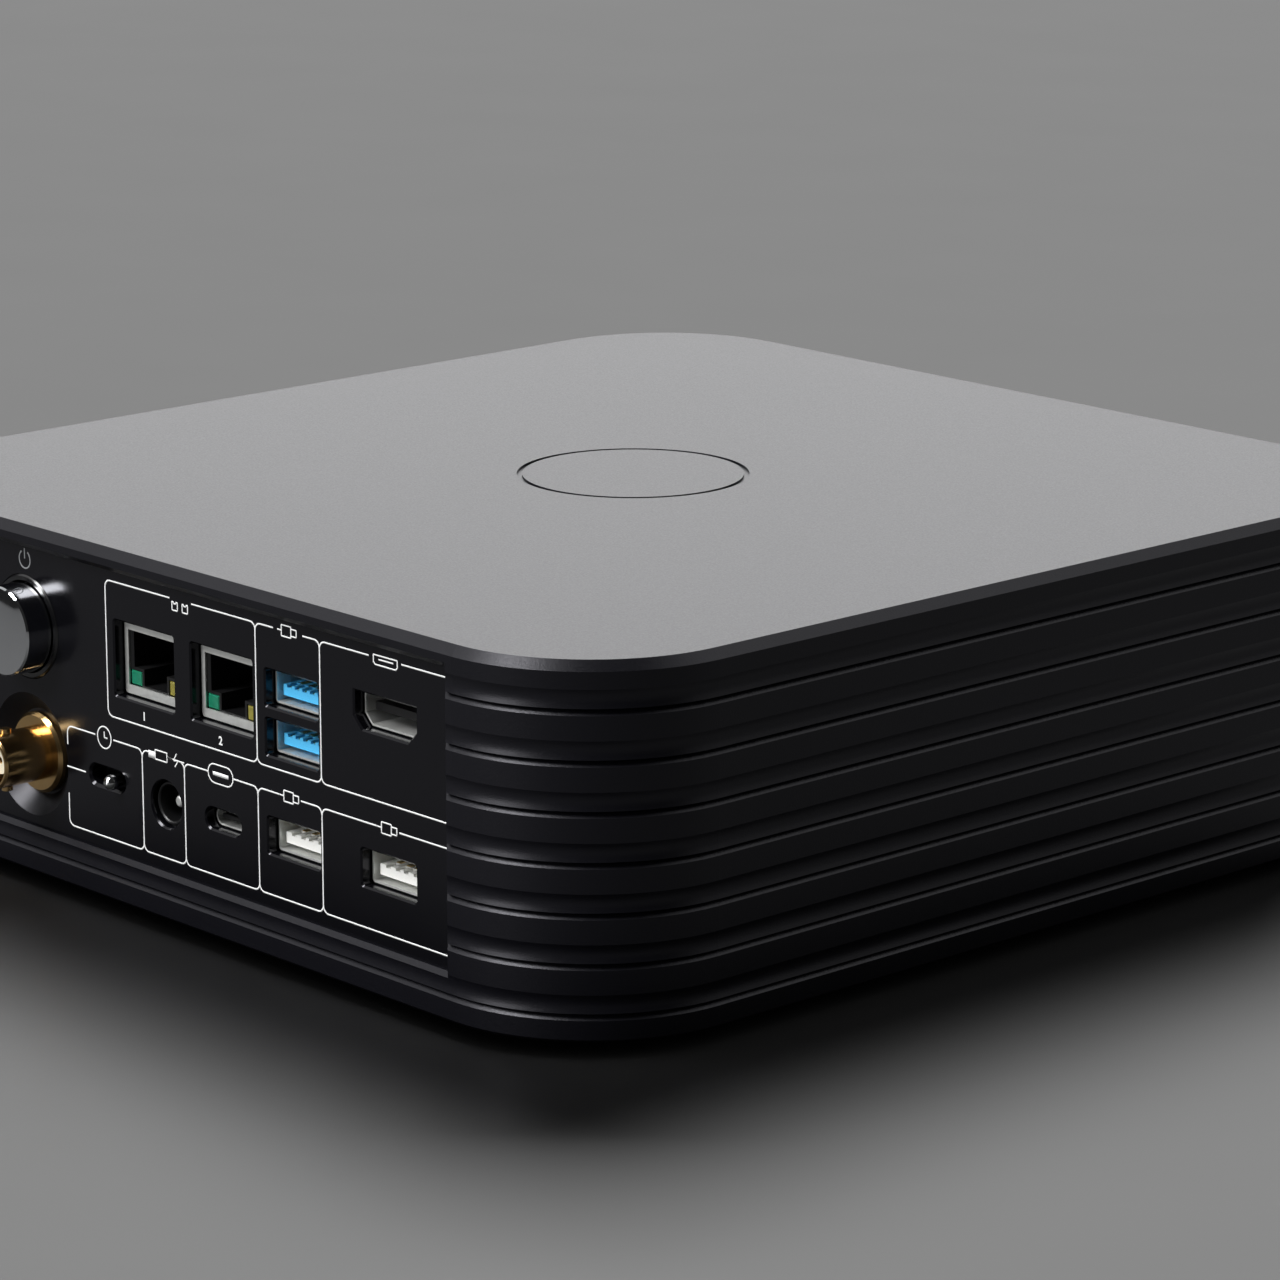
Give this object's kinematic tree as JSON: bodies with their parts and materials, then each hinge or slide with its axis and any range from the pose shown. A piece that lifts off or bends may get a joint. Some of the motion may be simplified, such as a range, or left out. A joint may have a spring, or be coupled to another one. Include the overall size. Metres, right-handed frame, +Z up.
{
  "type": "music server",
  "caption": "Square grooved aluminium music server with rounded corners, a recessed rear panel of sockets, a chrome power button and a clock input with its switch.",
  "frame": {"origin": "on the supporting surface under the middle of the case", "axes": "+Z up, +Y to the rear panel, +X to the left as the rear panel is faced"},
  "size_m": [0.21, 0.2221, 0.065],
  "materials": {
    "black_anodised": "black anodised, fine satin",
    "black_anodised_panel": "black anodised, matt, printed in white",
    "black_bezel": "black anodised, gloss",
    "black_plastic": "moulded",
    "black_rubber": "matt",
    "black_steel": "black oxide",
    "blue_plastic": "moulded",
    "capacitor_sleeve": "sleeved can",
    "chip": "moulded epoxy",
    "chrome_cap": "polished",
    "chrome_lever": "polished",
    "circuit_board": "glass epoxy with green resist",
    "gold_contact": "gold plated",
    "gold_plate": "gold plated, turned",
    "green_light": "clear green light guide, unlit",
    "ivory_plastic": "moulded",
    "nickel_brass": "nickel plated",
    "nickel_can": "nickel plated can",
    "pad_rubber": "soft thermal pad",
    "spring_steel": "bright wire",
    "tin_shield": "tin plated sheet",
    "white_plastic": "moulded",
    "yellow_light": "clear yellow light guide, unlit",
    "zinc_steel": "zinc plated"
  },
  "bodies": {
    "case": {"audio_port_shell": "tin_shield", "audio_port_tongue": "white_plastic", "bottom_plate": "black_anodised", "bottom_screws": "black_steel", "clock_battery": "nickel_can", "clock_connector_body": "gold_plate", "clock_connector_insulator": "ivory_plastic", "clock_connector_nut": "gold_plate", "clock_connector_pin": "gold_contact", "clock_oven": "nickel_can", "clock_switch_body": "black_plastic", "feet": "black_rubber", "filter_capacitors": "capacitor_sleeve", "housing": "black_anodised", "io_board": "circuit_board", "io_posts": "nickel_brass", "io_screws": "zinc_steel", "link_lights_green": "green_light", "link_lights_yellow": "yellow_light", "link_plugs": "black_plastic", "link_sockets": "black_plastic", "mainboard": "circuit_board", "mainboard_screws": "zinc_steel", "memory_chips": "chip", "network_contacts": "gold_contact", "network_jack_1_insert": "black_plastic", "network_jack_1_shield": "tin_shield", "network_jack_2_insert": "black_plastic", "network_jack_2_shield": "tin_shield", "panel_screws": "zinc_steel", "power_board": "circuit_board", "power_board_posts": "nickel_brass", "power_board_screws": "zinc_steel", "power_button_bezel": "black_bezel", "power_button_nut": "black_bezel", "power_button_spring": "spring_steel", "power_inductors": "chip", "power_inlet_body": "black_plastic", "power_inlet_pin": "tin_shield", "power_switch_core": "black_plastic", "processor": "chip", "rear_panel": "black_anodised_panel", "storage_drive": "circuit_board", "storage_port_shell": "tin_shield", "storage_port_tongue": "white_plastic", "storage_post": "nickel_brass", "storage_screw": "zinc_steel", "storage_socket": "black_plastic", "thermal_pad": "pad_rubber", "type_c_shell": "tin_shield", "type_c_tongue": "black_plastic", "usb3_ports_shell": "tin_shield", "usb3_ports_tongue": "blue_plastic", "usb_contacts": "gold_contact", "video_port_shell": "tin_shield", "video_port_tongue": "black_plastic"},
    "power_button": {"power_button_cap": "chrome_cap"},
    "clock_switch": {"clock_switch_lever": "chrome_lever"}
  },
  "joints": [
    {"name": "power_button_press", "type": "slide", "parent": "case", "child": "power_button", "axis": [0, -1, 0], "range_m": [0, 0.0012], "stiffness_N_per_m": 1500, "springref_m": -0.0005, "deforming": ["power_button_spring"]},
    {"name": "clock_switch_throw", "type": "hinge", "parent": "case", "child": "clock_switch", "pos_m": [0.0189, 0.0965, 0.0236], "axis": [0, 0, -1], "range_deg": [0, 28]}
  ]
}
